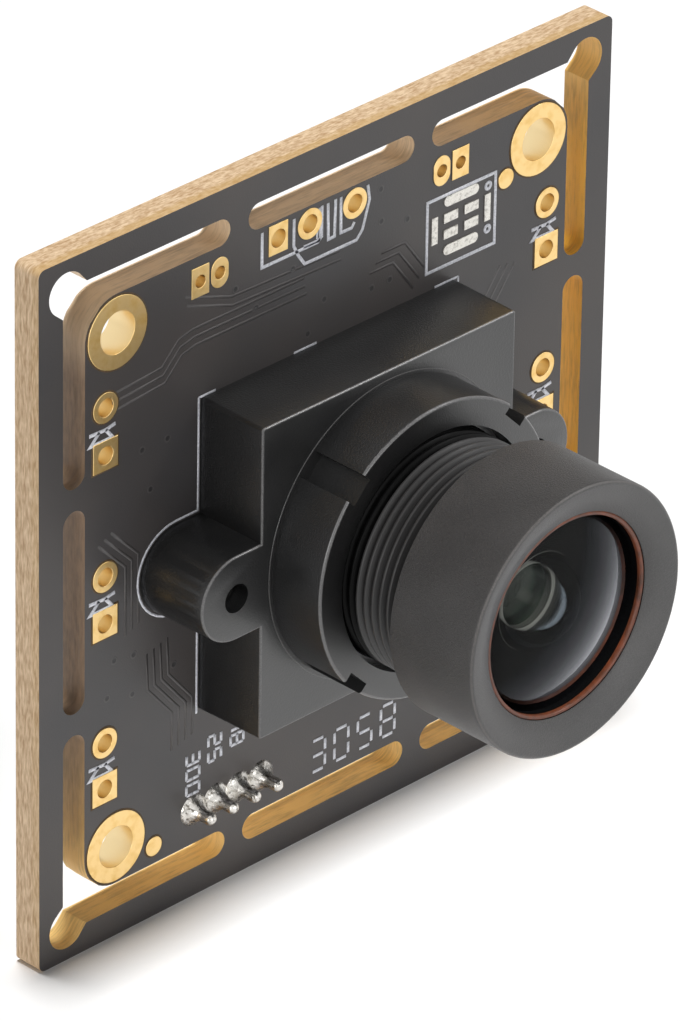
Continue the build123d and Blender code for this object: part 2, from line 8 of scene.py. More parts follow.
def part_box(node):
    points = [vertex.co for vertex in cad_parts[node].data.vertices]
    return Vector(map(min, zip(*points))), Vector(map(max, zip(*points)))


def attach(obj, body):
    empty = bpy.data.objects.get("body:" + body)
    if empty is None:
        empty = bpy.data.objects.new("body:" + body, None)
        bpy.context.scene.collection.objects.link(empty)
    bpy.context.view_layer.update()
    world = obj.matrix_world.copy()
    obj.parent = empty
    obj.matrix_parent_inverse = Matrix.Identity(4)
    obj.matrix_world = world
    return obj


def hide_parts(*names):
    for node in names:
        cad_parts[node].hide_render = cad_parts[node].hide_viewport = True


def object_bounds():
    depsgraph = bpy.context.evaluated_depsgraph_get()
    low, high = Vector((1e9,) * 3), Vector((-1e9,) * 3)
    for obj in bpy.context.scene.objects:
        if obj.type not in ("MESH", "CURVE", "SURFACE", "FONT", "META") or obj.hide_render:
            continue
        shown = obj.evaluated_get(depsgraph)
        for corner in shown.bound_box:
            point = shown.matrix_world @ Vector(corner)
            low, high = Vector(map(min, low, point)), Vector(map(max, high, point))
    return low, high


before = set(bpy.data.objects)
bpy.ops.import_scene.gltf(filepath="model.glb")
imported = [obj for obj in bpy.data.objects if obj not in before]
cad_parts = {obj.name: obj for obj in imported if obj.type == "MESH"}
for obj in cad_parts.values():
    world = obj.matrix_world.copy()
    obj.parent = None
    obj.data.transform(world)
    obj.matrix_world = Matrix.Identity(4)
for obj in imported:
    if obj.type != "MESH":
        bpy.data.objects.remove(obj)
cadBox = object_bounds()
print("frame loaded")

mm = 0.001  # shapes are made in millimetres and turned to metres when a piece is finished
fullTurn = math.tau
mergeDistance = 0.0005  # mm, for the loose triangles of a CAD node
seamDistance = 0.0001  # mm, for the seam and poles of a spun shape


def corners(node):  # a CAD node's box in millimetres
    low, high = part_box(node)
    return low / mm, high / mm


barrelLow, barrelHigh = corners("lens_barrel")
lensHeight = (barrelLow.z + barrelHigh.z) / 2
headRadius = (barrelHigh.z - barrelLow.z) / 2
headFront = -barrelLow.y
barrelBack = -barrelHigh.y


class Signal:  # a shader socket that can stand in a sum
    def __init__(self, tree, socket=None):
        self.tree = tree
        self.socket = socket

    def node(self, kind, settings=None, sockets=None, out=0):  # any node: settings first, then sockets
        made = self.tree.nodes.new("ShaderNode" + kind)
        for key, value in (settings or {}).items():
            setattr(made, key, value)
        for key, value in (sockets or {}).items():
            if isinstance(value, Signal):
                self.tree.links.new(value.socket, made.inputs[key])
            else:
                made.inputs[key].default_value = value
        return Signal(self.tree, made.outputs[out] if made.outputs else None)

    def maths(self, operation, first, second):
        return self.node("Math", {"operation": operation}, {0: first, 1: second})

    def __add__(self, other):
        return self.maths("ADD", self, other)

    def __radd__(self, other):
        return self.maths("ADD", other, self)

    def __sub__(self, other):
        return self.maths("SUBTRACT", self, other)

    def __rsub__(self, other):
        return self.maths("SUBTRACT", other, self)

    def __mul__(self, other):
        return self.maths("MULTIPLY", self, other)

    def __rmul__(self, other):
        return self.maths("MULTIPLY", other, self)

    def __abs__(self):
        return self.maths("ABSOLUTE", self, 0)


def tint(hexText):  # a colour as a screen shows it, as linear light
    shares = [int(hexText[i:i + 2], 16) / 255 for i in (0, 2, 4)]
    return (*[s / 12.92 if s < 0.04045 else ((s + 0.055) / 1.055) ** 2.4 for s in shares], 1)


def mixed(share, first, second):  # share 0 gives the first colour, 1 the second
    return share.node("Mix", {"data_type": "RGBA"}, {0: share, 6: first, 7: second}, out=2)


def ramped(value, low, high):  # 0 at low and under, 1 at high and over
    return value.node("MapRange", None, {"Value": value, "From Min": low, "From Max": high})


plainTones = {  # the two colours that each plain finish wanders between
    "tinnedPad": ("d8d4cc", "f2efe8"),
    "thread": ("242323", "323131"),
    # groove: painted shade for the thread's flanks, floor and the crests deep in the holder
    "groove": ("050505", "0b0b0b"),
    "inner": ("0b0b0c", "151516"),
    "blacked": ("090909", "111112"),
    "spacer": ("0a0a0a", "161615"),
    "cell": ("2b2c28", "4e504a"),
    # lip: painted highlight grey for the pale rings
    "lip": ("7b7d76", "b0b2aa"),
    "seal": ("4c2c1c", "743c24"),
    "screw": ("454443", "6a6967"),
    "connector": ("d9d3c2", "e9e5d8"),
    "chip": ("1b1b1c", "2d2c2c"),
    "lead": ("b4b1ab", "d3d0ca"),
    "crystal": ("a8a6a1", "cfccc5"),
    "ferrite": ("3a3937", "5a5956"),
    "capacitor": ("8d7355", "ab9070"),
    "resistor": ("151516", "242324"),
    "trace": ("403e3e", "4b4746"),
    "opening": ("3a2a12", "5a421d"),
    "drill": ("1c1b1c", "2b292a"),
}


def between(noise, finish, reach=0.2):  # reach: how far from its middle the noise gives the full colours
    dark, light = plainTones[finish]
    return mixed(ramped(noise, 0.5 - reach, 0.5 + reach), tint(dark), tint(light))


def surfacePlace(start, kind="Object"):
    place = start.node("TexCoord")
    return Signal(start.tree, place.socket.node.outputs[kind])


def grain(start, size, stretch=(1, 1, 1), detail=2.0):  # cloudy noise, its spots about size mm wide
    scale = tuple(1 / (size * mm * s) for s in stretch)
    spread = start.node("Mapping", None, {"Vector": surfacePlace(start), "Scale": scale})
    return start.node("TexNoise", None, {"Vector": spread, "Scale": 1.0, "Detail": detail})


def pits(start, size, stretch=(1, 1, 1)):  # rounded cells, about size mm wide
    scale = tuple(1 / (size * mm * s) for s in stretch)
    spread = start.node("Mapping", None, {"Vector": surfacePlace(start), "Scale": scale})
    return start.node("TexVoronoi", None, {"Vector": spread, "Scale": 1.0})


def bumped(height, depth, under=None):  # depth in mm
    sockets = {"Height": height, "Distance": depth * mm, "Strength": 1.0}
    if under:
        sockets["Normal"] = under
    return height.node("Bump", None, sockets)


def alongAxis(start, axis, kind="Object"):  # one coordinate of the surface point, in metres
    parts = start.node("SeparateXYZ", None, {0: surfacePlace(start, kind)})
    return Signal(start.tree, parts.socket.node.outputs["XYZ".index(axis)])


def turnMarks(start, size, perMetre=900):  # rings round the lens axis, about size mm apart
    parts = start.node("SeparateXYZ", None, {0: surfacePlace(start)}).socket.node.outputs
    across = Signal(start.tree, parts["X"])
    up = Signal(start.tree, parts["Z"]) - lensHeight * mm
    radius = start.maths("SQRT", across * across + up * up, 0)
    along = Signal(start.tree, parts["Y"]) * perMetre
    rings = start.node("CombineXYZ", None, {0: radius * (1 / (size * mm)), 1: along})
    return start.node("TexNoise", None, {"Vector": rings, "Scale": 1.0, "Detail": 2.0})


def newFinish(name, recipe):
    finish = bpy.data.materials.new(name)
    finish.use_nodes = True
    tree = finish.node_tree
    shader = tree.nodes["Principled BSDF"]
    for key, value in recipe(Signal(tree)).items():
        if isinstance(value, Signal):
            tree.links.new(value.socket, shader.inputs[key])
        else:
            shader.inputs[key].default_value = value
    return finish


solderMask = {"cool": tint("3c3a3b"), "warm": tint("474240"), "roughness": 0.36}


def maskFinish(start):  # black solder mask on both faces of the board
    cloud = grain(start, 9.0)
    fine = grain(start, 0.09, detail=1.0)
    shade = ramped(cloud * 0.9 + fine * 0.1, 0.35, 0.65)
    return {
        "Base Color": mixed(shade, solderMask["cool"], solderMask["warm"]),
        "Roughness": solderMask["roughness"] - 0.02 + fine * 0.06,
        "Normal": bumped(fine, 0.006),
    }


laminate = {
    "pale": tint("e6cba8"),
    "dark": tint("b08d66"),
    "amber": tint("b8924e"),
    "routedDull": tint("87705a"),
    "routedPale": tint("9c8167"),
    # painted light on the routed walls: a lighter top, an amber glow at the side and low down
    "routedTopPaintedLight": tint("e6ccaa"),
    "routedSidePaintedGlow": tint("f0bc4c"),
    "routedLowPaintedGlow": tint("f8d288"),
    "routedStain": tint("6e5c3e"),
    "stainShare": 0.42,
    "amberDepth": 0.5,
}


def cutEdgeFinish(start):  # sheared glass fibre: fine strands, resin rich beside the front face
    threads = grain(start, 0.34, (1, 0.42, 2.2), 3.0)
    strands = grain(start, 0.12, (4.0, 0.6, 4.0), 2.0)
    fibre = mixed(ramped(threads * 0.6 + strands * 0.4, 0.36, 0.64), laminate["dark"], laminate["pale"])
    depthIn = alongAxis(start, "Y") * (1 / mm)
    amber = 1 - ramped(depthIn + threads * 0.3, laminate["amberDepth"], laminate["amberDepth"] + 0.3)
    facing = ramped(alongAxis(start, "Z", "Normal"), 0.2, 0.9)
    return {
        "Base Color": mixed(amber * (facing * 0.3 + 0.2), fibre, laminate["amber"]),
        "Roughness": 0.55 + threads * 0.1,
        "Normal": bumped(threads, 0.04),
    }


def routedFinish(start):  # smooth routed walls with painted light: lighter in the top slots, a painted amber glow on the right and low down where light would come through the resin
    threads = grain(start, 0.4, (2.0, 0.6, 2.0), 3.0)
    layers = grain(start, 0.15, (8.0, 0.8, 8.0), 3.0)
    cloud = grain(start, 2.4, detail=3.0)
    dull = mixed(ramped(threads, 0.36, 0.64), laminate["routedDull"], laminate["routedPale"])
    # painted light by height and side: the top slots lighter, an amber glow toward the right and in the
    # bottom slots
    above = alongAxis(start, "Z") * (1 / mm)
    across = alongAxis(start, "X") * (1 / mm) - above
    upper = mixed(ramped(above, 12, 16), dull, laminate["routedTopPaintedLight"])
    side = mixed(ramped(across, -10, 6), upper, laminate["routedSidePaintedGlow"])
    clean = mixed(ramped(above, -12, -16), side, laminate["routedLowPaintedGlow"])
    stain = ramped(layers * 0.6 + cloud * 0.4, 0.46, 0.68) * laminate["stainShare"]
    return {
        "Base Color": mixed(stain, clean, laminate["routedStain"]),
        "Roughness": 0.5 + threads * 0.1,
        "Normal": bumped(layers, 0.03),
    }


# wall: a paler gold for the hole walls, painted to offset the deeper colour that light bouncing inside the
# holes gives
goldPlate = {"tone": tint("f7d493"), "worn": tint("e6bb6c"), "wall": tint("f3dba9"), "roughness": 0.3}


def goldFinish(start):
    spots = grain(start, 0.6, detail=3.0)
    fine = grain(start, 0.07, detail=1.0)
    face = mixed(ramped(spots, 0.45, 0.8), goldPlate["tone"], goldPlate["worn"])
    return {
        # painted light: the hole walls take the paler wall gold, against the colour deepened by their inner
        # bounces
        "Base Color": mixed(ramped(abs(alongAxis(start, "Y", "Normal")), 0.3, 0.6), goldPlate["wall"], face),
        "Metallic": 1.0,
        "Roughness": goldPlate["roughness"] + spots * 0.1,
        "Normal": bumped(fine, 0.004),
    }


solderTin = {"bright": tint("e6e3de"), "dull": tint("bdb9b2"), "flux": tint("6c675f")}


def tinFinish(start):  # bright solder, a little wavy where it froze
    waves = grain(start, 0.5, detail=3.0)
    streaks = grain(start, 0.16, (1, 3.0, 1), 3.0)
    clean = mixed(ramped(waves, 0.35, 0.7), solderTin["bright"], solderTin["dull"])
    return {
        "Base Color": mixed(ramped(streaks, 0.52, 0.66), clean, solderTin["flux"]),
        "Metallic": 1.0,
        "Roughness": 0.16 + streaks * 0.22,
        "Normal": bumped(waves, 0.05, bumped(streaks, 0.03)),
    }


def tinnedPadFinish(start):  # levelled solder paste: pale and granular
    lumps = pits(start, 0.13)
    fine = grain(start, 0.05, detail=2.0)
    scum = grain(start, 0.22, detail=3.0)
    clean = between(fine, "tinnedPad")
    return {
        "Base Color": mixed(ramped(scum, 0.52, 0.7) * 0.5, clean, solderTin["flux"]),
        "Metallic": 0.8,
        "Roughness": 0.28 + fine * 0.2,
        "Normal": bumped(lumps, 0.03, bumped(fine, 0.01)),
    }


# edge: the painted highlight grey of the holder's rounded edges
mouldedBlack = {"dark": tint("0c0c0d"), "light": tint("161616"), "edge": tint("5c5b5b"), "roughness": 0.32}


def holderFinish(start):  # glass filled nylon with a fine spark finish
    spark = grain(start, 0.09, detail=2.0)
    flow = grain(start, 3.5, detail=3.0)
    shade = ramped(flow * 0.7 + spark * 0.3, 0.35, 0.65)
    return {
        "Base Color": mixed(shade, mouldedBlack["dark"], mouldedBlack["light"]),
        "Roughness": mouldedBlack["roughness"] + flow * 0.08 - spark * 0.06,
        "Specular IOR Level": 0.6,
        "Coat Weight": ramped(alongAxis(start, "Y", "Normal"), -0.7, -0.95) * 0.75,
        "Coat Roughness": 0.34,
        "Normal": bumped(spark, 0.014),
    }


def holderEdgeFinish(start):  # the same plastic with a painted highlight: a much lighter grey and more shine on the rounded edges
    spark = grain(start, 0.07, detail=2.0)
    return {
        "Base Color": mixed(ramped(spark, 0.3, 0.7), tint("3c3b3b"), mouldedBlack["edge"]),
        "Roughness": 0.26 + spark * 0.1,
        "Specular IOR Level": 1.0,
        "Normal": bumped(spark, 0.006),
    }


# edge: the painted highlight grey of the barrel's rounded rim
blastedMetal = {"dark": tint("1b1919"), "light": tint("373534"), "edge": tint("615e5c"), "roughness": 0.42}


def barrelFinish(start):  # black anodised metal under a fine bead blast
    blast = grain(start, 0.07, detail=2.0)
    cloud = grain(start, 4.0)
    shade = ramped(cloud * 0.4 + blast * 0.6, 0.36, 0.64)
    return {
        "Base Color": mixed(shade, blastedMetal["dark"], blastedMetal["light"]),
        "Roughness": blastedMetal["roughness"] + blast * 0.1,
        "Specular IOR Level": 0.6,
        "Coat Weight": ramped(alongAxis(start, "Y", "Normal"), -0.7, -0.95) * 0.65,
        "Coat Roughness": 0.4,
        "Normal": bumped(blast, 0.045),
    }


def barrelEdgeFinish(start):  # turned edges with a painted highlight: a lighter grey than the black barrel
    blast = grain(start, 0.06)
    return {
        "Base Color": mixed(ramped(blast, 0.3, 0.7), tint("454241"), blastedMetal["edge"]),
        "Roughness": 0.36 + blast * 0.1,
        "Normal": bumped(blast, 0.005),
    }


def threadFinish(start):  # crests of the cut thread, smoother than the blasted head
    cut = turnMarks(start, 0.05)
    return {
        "Base Color": between(cut, "thread", 0.15),
        "Roughness": 0.34 + cut * 0.14,
        "Normal": bumped(cut, 0.004),
    }


def grooveFinish(start):  # the thread's flanks and floor: painted shade, near black
    mottle = grain(start, 0.3, (1, 0.3, 1))
    return {
        "Base Color": between(mottle, "groove", 0.15),
        "Roughness": 0.3 + mottle * 0.12,
        "Specular IOR Level": 0.08,
        "Normal": bumped(mottle, 0.003),
    }


def innerFinish(start):  # matt black paint inside the barrel
    fine = grain(start, 0.06)
    return {
        "Base Color": between(fine, "inner"),
        "Roughness": 0.42 + fine * 0.12,
        "Normal": bumped(fine, 0.006),
    }


def blackedFinish(start):  # ink on the ground rim of the glass
    fine = grain(start, 0.08)
    return {
        "Base Color": between(fine, "blacked"),
        "Roughness": 0.8 + fine * 0.1,
        "Specular IOR Level": 0.0,
        "Normal": bumped(fine, 0.002),
    }


def spacerFinish(start):  # turned ring, its cut marks catch the light
    turns = turnMarks(start, 0.06)
    return {
        "Base Color": between(turns, "spacer", 0.15),
        "Roughness": 0.34 + turns * 0.1,
        "Specular IOR Level": 0.1,
        "Normal": bumped(turns, 0.006),
    }


def cellFinish(start):  # bare ring round the second element, finely turned
    turns = turnMarks(start, 0.09)
    return {
        "Base Color": between(turns, "cell", 0.15),
        "Roughness": 0.28 + turns * 0.1,
        "Normal": bumped(turns, 0.008),
    }


def lipFinish(start):  # pale rings on the turned edges: painted highlight
    turns = turnMarks(start, 0.05)
    return {
        "Base Color": between(turns, "lip", 0.15),
        "Roughness": 0.3 + turns * 0.1,
        "Normal": bumped(turns, 0.004),
    }


def sealFinish(start):  # orange brown sealing ring
    shade = grain(start, 0.5)
    return {
        "Base Color": between(shade, "seal"),
        "Roughness": 0.3 + shade * 0.08,
        "Normal": bumped(shade, 0.008),
    }


lensCoat = {
    "bend": 1.5,
    "cover": 2.5,
    "grazing": 38.0,
    "mirrorFrom": 1.35,
    "mirrorFull": 1.5,
    "tone": tint("e9ecf4"),
    "coated": tint("060607"),
    # film: grey standing in for the glass's soft sheen, painted; dust varies it a little
    "sheenFilm": tint("6a6b6a"),
    "roughness": 0.015,
}


def glassFinish(start, bend=lensCoat["bend"], tone=lensCoat["tone"], sheenFilm=lensCoat["sheenFilm"]):
    # coated glass: a mirror only where it is seen at a low angle, elsewhere a thin grey film: a painted
    # sheen, patchy like dust
    facing = start.node("Fresnel", None, {"IOR": bend})
    straight = ((bend - 1) / (bend + 1)) ** 2
    mirror = ramped(facing, straight * lensCoat["mirrorFrom"], straight * lensCoat["mirrorFull"])
    dust = grain(start, 0.4)
    polished = mixed(facing * facing * lensCoat["grazing"], lensCoat["coated"], tone)
    dustAndSheen = mixed(ramped(dust, 0.3, 0.8) * 0.3, sheenFilm, lensCoat["coated"])
    return {
        "Base Color": mixed(mirror, dustAndSheen, polished),
        "Metallic": mirror,
        "Specular IOR Level": 0.0,
        "Roughness": lensCoat["roughness"] + dust * 0.01,
        "Alpha": facing * lensCoat["cover"],
    }


def cupGlassFinish(start):  # the front element's hollow, whose coat takes most of the light away
    return glassFinish(start, lensCoat["bend"], tint("6c757d"), tint("6a6e6c"))


def greenGlassFinish(start):
    return glassFinish(start, 1.6, tint("5f9f78"), tint("8a968a"))


def filterFinish(start):  # heat filter: a cyan coat that throws back red
    return glassFinish(start, 1.6, tint("9fb8d8"))


def sensorFinish(start):
    cells = pits(start, 0.2)
    return {
        "Base Color": mixed(ramped(cells, 0.1, 0.8), tint("1d2330"), tint("2c3448")),
        "Roughness": 0.25 + cells * 0.1,
        "Normal": bumped(cells, 0.004),
    }


def screwFinish(start):
    rings = grain(start, 0.06, (5, 1, 5))
    return {
        "Base Color": between(rings, "screw"),
        "Metallic": 1.0,
        "Roughness": 0.16 + rings * 0.12,
        "Normal": bumped(rings, 0.008),
    }


def connectorFinish(start):  # milky nylon
    flow = grain(start, 2.2, detail=3.0)
    return {
        "Base Color": between(flow, "connector"),
        "Roughness": 0.4 + flow * 0.1,
        "Normal": bumped(grain(start, 0.2), 0.006),
        "Subsurface Weight": 0.1,
        "Subsurface Scale": 0.0005,
    }


def chipFinish(start):  # black epoxy with a fine moulded grain
    sand = grain(start, 0.08, detail=3.0)
    cloud = grain(start, 1.6)
    return {
        "Base Color": between(cloud * 0.5 + sand * 0.5, "chip", 0.15),
        "Roughness": 0.55 + sand * 0.12,
        "Normal": bumped(sand, 0.015),
    }


def leadFinish(start):  # matt tin plate
    fine = grain(start, 0.08, detail=3.0)
    return {
        "Base Color": between(fine, "lead"),
        "Metallic": 1.0,
        "Roughness": 0.28 + fine * 0.15,
        "Normal": bumped(fine, 0.006),
    }


def crystalFinish(start):  # drawn steel lid with a brushed top
    brush = grain(start, 0.05, (9, 1, 1), 3.0)
    return {
        "Base Color": between(brush, "crystal"),
        "Metallic": 1.0,
        "Roughness": 0.25 + brush * 0.15,
        "Normal": bumped(brush, 0.006),
    }


def ferriteFinish(start):
    sand = grain(start, 0.12, detail=4.0)
    return {
        "Base Color": between(sand, "ferrite"),
        "Roughness": 0.62 + sand * 0.15,
        "Normal": bumped(sand, 0.03),
    }


def capacitorFinish(start):
    fired = grain(start, 0.15, detail=3.0)
    return {
        "Base Color": between(fired, "capacitor"),
        "Roughness": 0.42 + fired * 0.1,
        "Normal": bumped(fired, 0.01),
    }


def resistorFinish(start):
    glaze = grain(start, 0.25, detail=2.0)
    return {
        "Base Color": between(glaze, "resistor"),
        "Roughness": 0.2 + glaze * 0.12,
        "Normal": bumped(glaze, 0.008),
    }


def printFinish(start):  # white ink, thin in places
    fine = grain(start, 0.12, detail=3.0)
    return {
        "Base Color": mixed(ramped(fine, 0.25, 0.6), tint("b7b9c2"), tint("e2e3e9")),
        "Roughness": 0.6 + fine * 0.1,
        "Normal": bumped(fine, 0.01),
    }


def traceFinish(start):  # copper under the mask: the mask is a little lighter over its edges
    fine = grain(start, 0.3, detail=2.0)
    return {
        "Base Color": between(fine, "trace"),
        "Roughness": 0.36 + fine * 0.06,
        "Normal": bumped(fine, 0.008),
    }


def openingFinish(start):  # bare laminate in the gap between mask and pad
    fine = grain(start, 0.1)
    return {
        "Base Color": between(fine, "opening"),
        "Roughness": 0.5 + fine * 0.1,
        "Normal": bumped(fine, 0.005),
    }


def drillFinish(start):  # plated hole that the mask has closed
    fine = grain(start, 0.06)
    return {
        "Base Color": between(fine, "drill"),
        "Roughness": 0.35 + fine * 0.1,
        "Normal": bumped(fine, 0.01),
    }


finishes = {
    "board": newFinish("solder_mask", maskFinish),
    "cutEdge": newFinish("sheared_laminate", cutEdgeFinish),
    "routed": newFinish("routed_laminate", routedFinish),
    "gold": newFinish("gold_plating", goldFinish),
    "tin": newFinish("bright_solder", tinFinish),
    "tinnedPad": newFinish("levelled_solder", tinnedPadFinish),
    "holder": newFinish("moulded_holder", holderFinish),
    "holderEdge": newFinish("holder_edge_painted_highlight", holderEdgeFinish),
    "barrel": newFinish("blasted_barrel", barrelFinish),
    "barrelEdge": newFinish("barrel_edge_painted_highlight", barrelEdgeFinish),
    "thread": newFinish("cut_thread", threadFinish),
    "groove": newFinish("groove_painted_shade", grooveFinish),
    "inner": newFinish("matt_inner_black", innerFinish),
    "blacked": newFinish("inked_glass_rim", blackedFinish),
    "lip": newFinish("lip_painted_highlight", lipFinish),
    "cell": newFinish("turned_cell", cellFinish),
    "cupGlass": newFinish("coated_hollow", cupGlassFinish),
    "spacer": newFinish("turned_spacer", spacerFinish),
    "seal": newFinish("orange_seal", sealFinish),
    "glass": newFinish("coated_glass", glassFinish),
    "greenGlass": newFinish("green_coated_glass", greenGlassFinish),
    "filter": newFinish("heat_filter", filterFinish),
    "sensor": newFinish("sensor_face", sensorFinish),
    "screw": newFinish("screw_steel", screwFinish),
    "connector": newFinish("milky_nylon", connectorFinish),
    "chip": newFinish("chip_epoxy", chipFinish),
    "lead": newFinish("tinned_lead", leadFinish),
    "crystal": newFinish("brushed_lid", crystalFinish),
    "ferrite": newFinish("sintered_ferrite", ferriteFinish),
    "capacitor": newFinish("fired_ceramic", capacitorFinish),
    "resistor": newFinish("resistor_glaze", resistorFinish),
    "print": newFinish("white_print", printFinish),
    "trace": newFinish("masked_copper", traceFinish),
    "opening": newFinish("mask_opening", openingFinish),
    "drill": newFinish("closed_via", drillFinish),
}
print("finishes mixed:", len(finishes))


def turned(outline, steps=128, closed=True):  # outline holds (radius, distance in front of the board)
    shape = bmesh.new()
    points = [shape.verts.new((radius, -ahead, 0)) for radius, ahead in outline]
    for first, second in zip(points, points[1:] + points[:1] if closed else points[1:]):
        shape.edges.new((first, second))
    bmesh.ops.spin(shape, geom=shape.verts[:] + shape.edges[:], cent=(0, 0, 0), axis=(0, 1, 0),
                   angle=fullTurn, steps=steps, use_merge=True)
    bmesh.ops.remove_doubles(shape, verts=shape.verts[:], dist=seamDistance)
    bmesh.ops.recalc_face_normals(shape, faces=shape.faces[:])
    return shape


def onLensAxis(shape):
    bmesh.ops.translate(shape, verts=shape.verts[:], vec=(0, 0, lensHeight))
    return shape


def dome(curve, rim, rimAhead, steps):  # from the rim of a ball face to its middle
    rise = math.sqrt(curve ** 2 - rim ** 2)
    radii = [rim * math.cos(math.pi / 2 * i / steps) for i in range(steps + 1)]
    return [(r, rimAhead + math.sqrt(curve ** 2 - r ** 2) - rise) for r in radii]


def finishPiece(name, shape, kinds, body, replaced=(), rounding=0.0, sharp=35):
    # kinds: the finishes in the order of the faces' material index
    bmesh.ops.scale(shape, verts=shape.verts[:], vec=(mm, mm, mm))
    mesh = bpy.data.meshes.new(name)
    shape.to_mesh(mesh)
    shape.free()
    if "custom_normal" in mesh.attributes:
        mesh.attributes.remove(mesh.attributes["custom_normal"])
    mesh.shade_smooth()
    for kind in kinds:
        mesh.materials.append(finishes[kind])
    piece = bpy.data.objects.new(name, mesh)
    bpy.context.scene.collection.objects.link(piece)
    if rounding:
        bevel = piece.modifiers.new("rounding", "BEVEL")
        bevel.width = rounding * mm
        bevel.segments = 2
        bevel.limit_method = "ANGLE"
        bevel.angle_limit = math.radians(sharp)
        bevel.harden_normals = True
    else:
        mesh.set_sharp_from_angle(angle=math.radians(sharp))
    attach(piece, body)
    if replaced:
        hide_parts(*replaced)
    return piece


def copied(node):  # a whole skin from a CAD node's loose triangles
    shape = bmesh.new()
    shape.from_mesh(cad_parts[node].data)
    bmesh.ops.scale(shape, verts=shape.verts[:], vec=(1 / mm, 1 / mm, 1 / mm))
    bmesh.ops.remove_doubles(shape, verts=shape.verts[:], dist=mergeDistance)
    bmesh.ops.dissolve_limit(shape, angle_limit=math.radians(0.6), verts=shape.verts[:], edges=shape.edges[:])
    return shape


def addShape(shape, other):
    kept = bpy.data.meshes.new("kept")
    other.to_mesh(kept)
    other.free()
    shape.from_mesh(kept)
    bpy.data.meshes.remove(kept)


def islands(node):  # the box of each separate solid in a node, in millimetres
    shape = bmesh.new()
    shape.from_mesh(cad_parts[node].data)
    bmesh.ops.remove_doubles(shape, verts=shape.verts[:], dist=mergeDistance * mm)
    found = []
    left = set(shape.verts)
    while left:
        group = [left.pop()]
        for vertex in group:
            for edge in vertex.link_edges:
                near = edge.other_vert(vertex)
                if near in left:
                    left.remove(near)
                    group.append(near)
        spots = [vertex.co / mm for vertex in group]
        found.append((Vector([min(s[i] for s in spots) for i in range(3)]),
                      Vector([max(s[i] for s in spots) for i in range(3)])))
    shape.free()
    return sorted(found, key=lambda box: (round(box[0].x, 2), round(box[0].z, 2)))


barrelShape = {
    "coreRadius": 5.7,
    "crestRadius": 6.0,
    "pitch": 0.5,
    "ribFoot": 0.23,
    "ribTop": 0.075,
    "stepsPerTurn": 96,
    "threadEnd": 10.3,
    "headRear": 11.25,
    "rimRound": 0.2,
    "mouthRadius": 5.28,
    "mouthFront": 16.0,
    "seat": 13.9,
    "stackBore": 4.6,
    # crests behind this distance take the painted shade of the groove
    "litCrestsFrom": 7.85,
    "mouthEdge": 0.06,
    "rimSteps": 6,
    "crestEdge": 0.02,
    "ribSunk": 0.05,
    "ribOverrun": 0.1,
    # faces this far above the core count as crests; lower faces take the painted shade
    "litAbove": 0.08,
}


def makeBarrel():
    size = barrelShape
    rim = size["rimRound"]
    outline = [
        (size["stackBore"], barrelBack),
        (size["coreRadius"], barrelBack),
        (size["coreRadius"], size["threadEnd"]),
        (headRadius, size["headRear"]),
    ]
    for i in range(size["rimSteps"] + 1):
        a = math.pi / 2 * i / size["rimSteps"]
        outline.append((headRadius - rim + rim * math.cos(a), headFront - rim + rim * math.sin(a)))
    outline += [
        (size["mouthRadius"] + size["mouthEdge"], size["mouthFront"]),
        (size["mouthRadius"], size["mouthFront"] - size["mouthEdge"]),
        (size["mouthRadius"], size["seat"]),
        (size["stackBore"], size["seat"]),
    ]
    shape = turned(outline, steps=160)
    for face in shape.faces:
        middle = face.calc_center_median()
        radius, ahead = math.hypot(middle.x, middle.z), -middle.y
        # the core behind the thread end takes the groove's painted shade; the rounded front rim takes the
        # painted edge highlight
        if ahead < size["threadEnd"]:
            face.material_index = 1
        elif radius < headRadius - rim and ahead < size["mouthFront"] - size["mouthEdge"]:
            face.material_index = 3
        elif headRadius - rim * 0.6 < radius < headRadius - rim * 0.2 and headFront - rim < ahead:
            face.material_index = 2
    finishPiece("barrel_body", onLensAxis(shape), ["barrel", "groove", "barrelEdge", "blacked"],
                "lens_barrel", ["lens_barrel"], sharp=40)


def makeThread():  # one rib wound round the core, its pitch a turn
    size = barrelShape
    shape = bmesh.new()
    middle = barrelBack + size["ribFoot"] + size["ribOverrun"]
    inside = size["coreRadius"] - size["ribSunk"]
    crest = size["crestRadius"]
    outline = [
        (inside, -size["ribFoot"]),
        (crest - size["crestEdge"], -size["ribTop"]),
        (crest, -size["ribTop"] * 0.6),
        (crest, size["ribTop"] * 0.6),
        (crest - size["crestEdge"], size["ribTop"]),
        (inside, size["ribFoot"]),
    ]
    start = shape.faces.new([shape.verts.new((radius, -middle - reach, 0)) for radius, reach in outline])
    turns = (size["threadEnd"] + size["ribOverrun"] - middle) / size["pitch"]
    steps = round(turns * size["stepsPerTurn"])
    bmesh.ops.spin(shape, geom=[start] + start.edges[:] + start.verts[:], cent=(0, 0, 0), axis=(0, 1, 0),
                   dvec=(0, -size["pitch"] / size["stepsPerTurn"], 0), angle=fullTurn * turns, steps=steps)
    bmesh.ops.remove_doubles(shape, verts=shape.verts[:], dist=seamDistance)
    bmesh.ops.recalc_face_normals(shape, faces=shape.faces[:])
    # painted shade: the flanks, the floor and the crests further back in the holder's mouth take the near
    # black groove finish; only the front crests keep the thread finish
    for face in shape.faces:
        spot = face.calc_center_median()
        outer = math.hypot(spot.x, spot.z) > size["coreRadius"] + size["litAbove"]
        face.material_index = 0 if outer and -spot.y > size["litCrestsFrom"] else 1
    finishPiece("barrel_thread", onLensAxis(shape), ["thread", "groove"], "lens_barrel",
                sharp=60)


